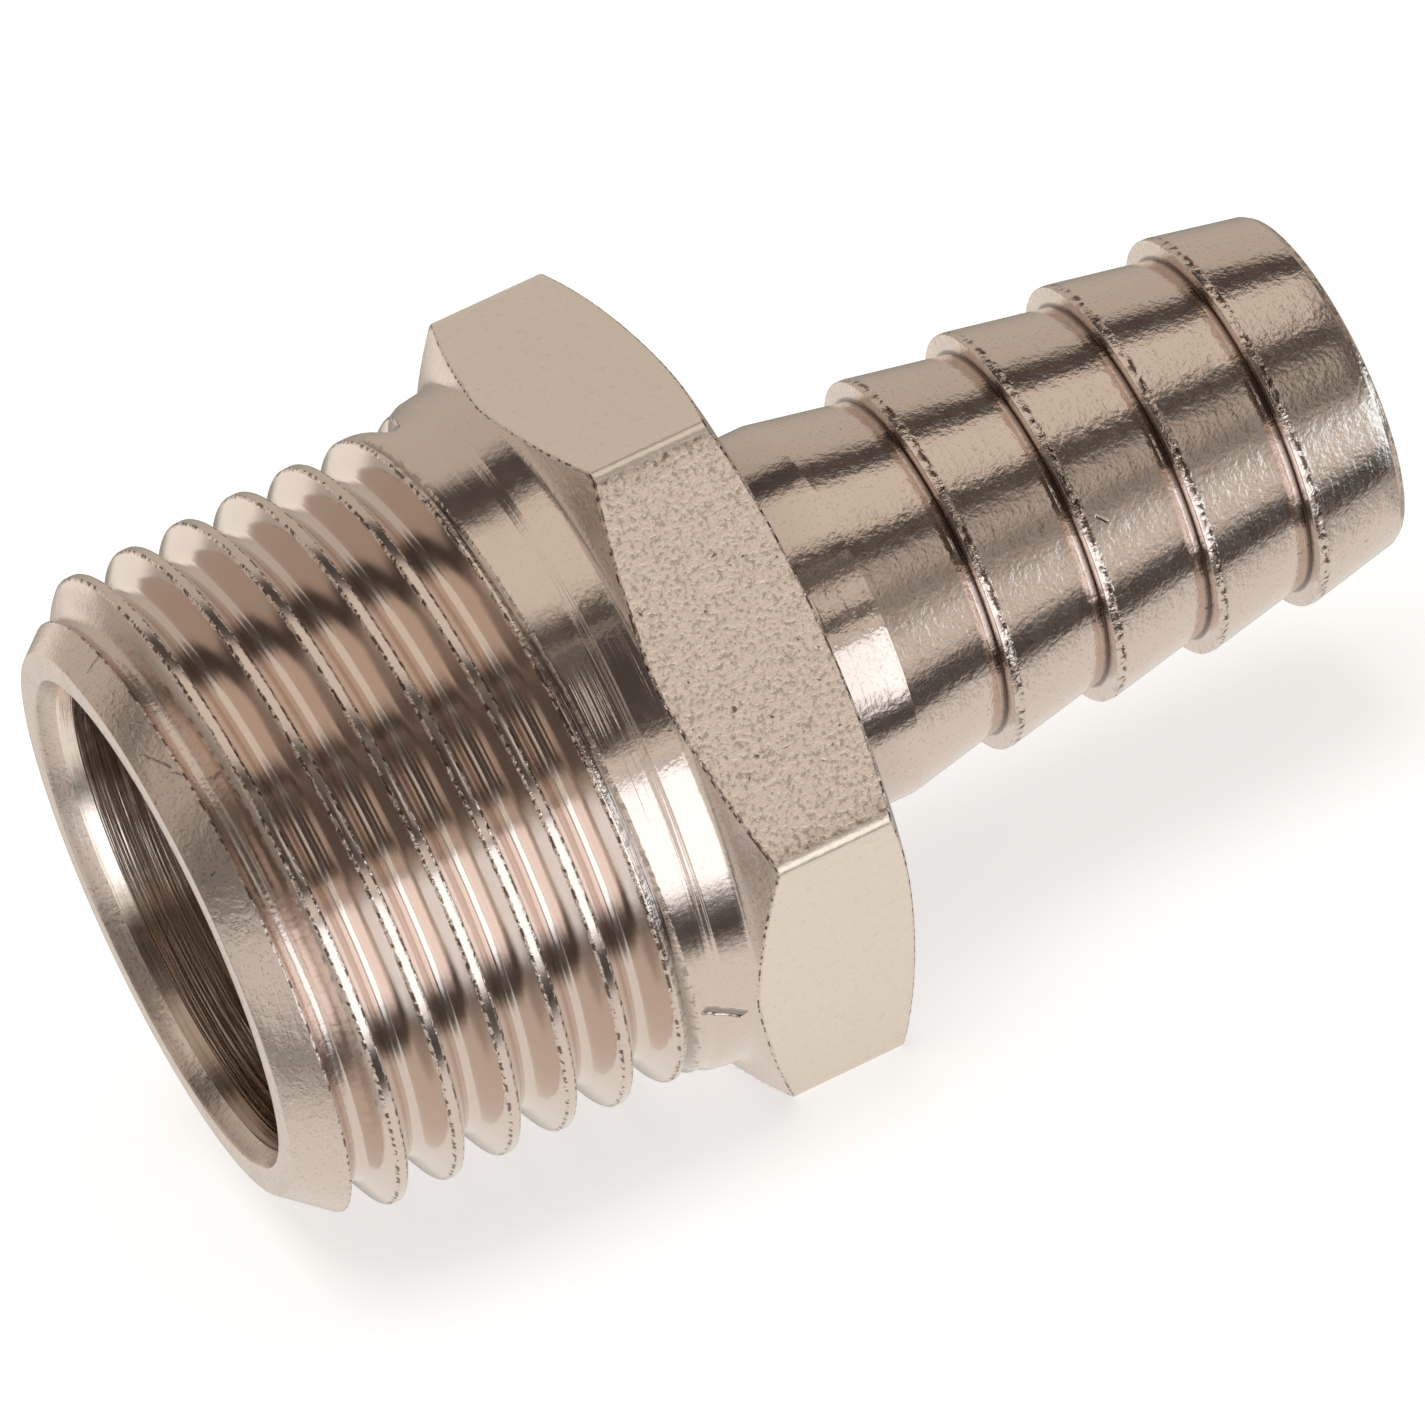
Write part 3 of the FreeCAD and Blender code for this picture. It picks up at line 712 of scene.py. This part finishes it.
def bore_finish():
    f = Finish("bore_plating", (0.93, 0.83, 0.745))
    times, noise = (lambda *p: f.math("MULTIPLY", *p)), f.noise
    strength = f.step(noise(1.0, 1.0, where=f.lathe(0.9, 0.9), shift=8.0), -0.15, 0.12)
    marks = f.total(
        times(noise(1.0, 3.0, 0.6, where=f.lathe(4.5, 0.7, 4.5)), 0.034),
        times(times(noise(1.0, 2.0, 0.5, where=f.lathe(12.0, 1.6, 12.0), shift=5.0), 0.016), strength))
    grain = times(noise(5.0, 1.0), 0.003)
    rough = f.math("MULTIPLY_ADD", noise(2.0, 1.0, shift=12.0), 0.14, 0.24)
    y, up = f.side
    under = f.math("ADD", times(y, down[1]), times(up, down[2]))
    # painted shade: the bore is darker from just above its middle downwards, darkest along the bottom
    bore_shade = f.total(f.step(under, -0.12, 0.0, 0.0, 0.68), f.step(under, 0.25, 0.70, 0.0, 0.20))     # darker along the lower side
    shade = f.total(bore_shade, times(f.step(noise(1.0, 3.0, 0.6, where=f.lathe(3.0, 0.6), shift=2.0), -0.05, 0.3), 0.35))
    return f.finish(f.total(marks, grain), rough, f.math("ADD", shade, 0.0, clamp=True))


turned, flats, bored = turned_finish(), flat_finish(), bore_finish()

# ---------------------------------------------------------------- piece
angle, z, r, edge, flat, recess_shade, helix_first, helix_last, per_turn = build_skin()
rows, cols = z.shape
bend = np.radians(angle)[None, :]
outwards = np.cos(bend)[..., None] * np.array(front) + np.sin(bend)[..., None] * np.array(down)
points = outwards * r[..., None]
points[..., 0] += z - LENGTH / 2
points[..., 2] += AXIS_HEIGHT
at = np.arange(rows * cols).reshape(rows, cols)
seam = at[:, 0].copy()
seam[helix_first:helix_last + 1] = at[np.minimum(np.arange(helix_first, helix_last + 1) + per_turn, helix_last), 0]
beside = np.concatenate([at[:, 1:], seam[:, None]], axis=1)
below, below_beside = np.roll(at, -1, 0), np.roll(beside, -1, 0)
quads = np.stack([at, beside, below_beside, below], -1).reshape(-1, 4)
inner = np.cumsum((np.arange(rows) > helix_last) & (z[:, 0] < 38.9) & (r[:, 0] < 4.7)) > 0
inner &= z[:, 0] > 0.75
kind = np.where(np.repeat(inner[:, None], cols, 1), 2, 0)
kind = np.where((flat > 0.5) & (np.roll(flat, -1, 0) > 0.5), 1, kind).reshape(-1)

mesh = bpy.data.meshes.new("hose_tail_skin")
faces = [tuple(dict.fromkeys(q)) for q in quads.tolist()]
whole = [len(f) > 2 for f in faces]
faces, kind = [f for f, w in zip(faces, whole) if w], kind[np.array(whole)]
mesh.from_pydata((points.reshape(-1, 3) * MM).tolist(), [], faces)
for m in (turned, flats, bored):
    mesh.materials.append(m)
mesh.polygons.foreach_set("material_index", kind.astype(np.int32))
# how strong the fine grain and the turning marks are on each stretch
def spread(pairs):
    return np.interp(z, [p[0] for p in pairs], [p[1] for p in pairs])


peel = spread([(0, 1.2), (1.7, 1.2), (1.9, 0.12), (11.3, 0.12), (11.8, 0.28), (14.0, 0.5), (14.4, 1.0), (19.5, 1.0), (19.6, 0.7), (22.2, 0.7), (22.3, 1.0), (39, 1.0)])
marks = spread([(0, 0.5), (1.8, 0.5), (1.9, 0.22), (11.4, 0.22), (11.7, 1.0), (12.8, 1.3), (14.0, 1.2), (14.2, 0.5), (15.2, 0.5), (19.0, 0.6), (19.7, 0.6), (20.0, 0.25), (39, 0.22)])
matt = spread([(0, 1), (1.7, 1), (1.9, 0), (13.98, 0), (14.3, 1), (15.0, 1), (18.7, 1), (19.5, 1), (19.6, 0), (39, 0)])
# the hexagon's sides: how pitted each is, which also sets how much painted light brightens its colour, and its rounded
# corners
on_side = np.round(angle / 60).astype(int) % 6
near_corner = 30 - np.abs((angle + 30) % 60 - 30)
pitted_and_lit = np.broadcast_to(np.array([1.0, 0.10, 0.25, 0.80, 0.30, 0.10])[on_side] * np.clip((near_corner - 0.1) / 0.6, 0, 1), z.shape)
corner = np.broadcast_to(np.clip((1.45 - near_corner) / 0.4, 0, 1), z.shape)
edge = np.maximum(edge, flat * np.clip(1 - np.abs(near_corner - 1.5) / 0.55, 0, 1) * 0.8 * pitted_and_lit)
for name, values in (("edge", edge), ("peel", peel), ("marks", marks), ("recess_shade", recess_shade), ("matt", matt), ("pitted_and_lit", pitted_and_lit), ("corner", corner)):
    mesh.attributes.new(name, "FLOAT", "POINT").data.foreach_set("value", values.reshape(-1).astype(np.float32))
bm = bmesh.new()
bm.from_mesh(mesh)
bmesh.ops.remove_doubles(bm, verts=bm.verts, dist=2.5e-6)
bmesh.ops.dissolve_degenerate(bm, edges=bm.edges, dist=1e-7)
bmesh.ops.recalc_face_normals(bm, faces=bm.faces)
for f in bm.faces:
    f.smooth = True
bm.to_mesh(mesh)
bm.free()
mesh.validate()
tail = bpy.data.objects.new("hose_tail_skin", mesh)
scene.collection.objects.link(tail)
weigh = tail.modifiers.new("weighted normals", "WEIGHTED_NORMAL")
weigh.mode = "FACE_AREA"
weigh.weight = 50
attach(tail, "root")
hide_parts("hose_tail")
